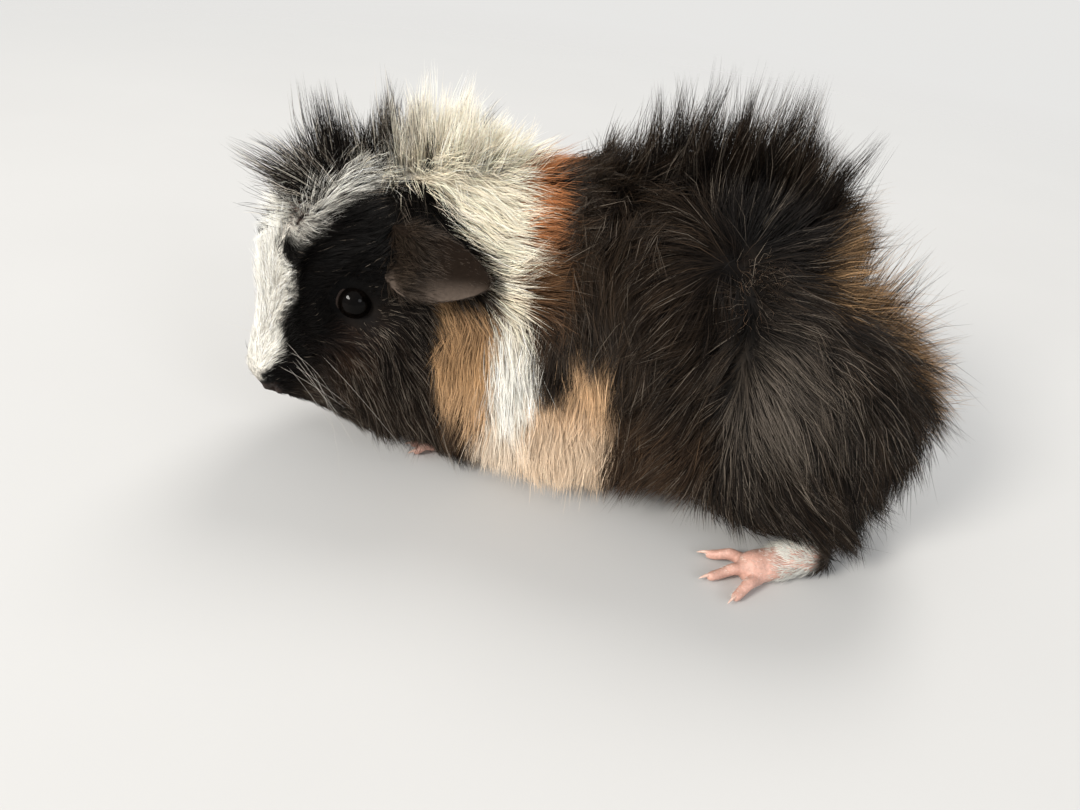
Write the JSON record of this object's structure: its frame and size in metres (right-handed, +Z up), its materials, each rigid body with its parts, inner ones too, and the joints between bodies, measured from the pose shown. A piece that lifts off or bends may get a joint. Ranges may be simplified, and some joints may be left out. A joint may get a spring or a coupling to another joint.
{
  "type": "guinea pig",
  "caption": "Still life-size young rosetted guinea pig on all four feet, head turned and lowered, tricolour coat with standing crests.",
  "frame": {"origin": "centre of the bounding box on the floor that the soles rest on", "axes": "+Z up; the animal faces -X along its trunk, its left side is -Y and its head is turned to its left"},
  "size_m": [0.193, 0.1134, 0.1172],
  "materials": {
    "coat_black": "matt black-brown hair",
    "coat_white": "matt cream-white hair",
    "ear_skin": "thin dark skin, nearly bare",
    "foot_skin": "pink skin with short pale hair",
    "claw": "pale translucent horn",
    "eye": "wet black"
  },
  "bodies": {
    "root": {"claw_fore_left_1": "claw", "claw_fore_left_2": "claw", "claw_fore_left_3": "claw", "claw_fore_left_4": "claw", "claw_fore_right_1": "claw", "claw_fore_right_2": "claw", "claw_fore_right_3": "claw", "claw_fore_right_4": "claw", "claw_hind_left_1": "claw", "claw_hind_left_2": "claw", "claw_hind_left_3": "claw", "claw_hind_right_1": "claw", "claw_hind_right_2": "claw", "claw_hind_right_3": "claw", "crest_forehead": "coat_black", "crest_nape": "coat_white", "crest_rump": "coat_black", "ear_left": "ear_skin", "ear_right": "ear_skin", "eye_left": "eye", "eye_right": "eye", "forefoot_left": "foot_skin", "forefoot_right": "foot_skin", "foreleg_left": "coat_white", "foreleg_right": "coat_white", "head": "coat_black", "hindfoot_left": "foot_skin", "hindfoot_right": "foot_skin", "hindleg_left": "coat_black", "hindleg_right": "coat_black", "neck": "coat_white", "trunk": "coat_black"}
  },
  "joints": []
}
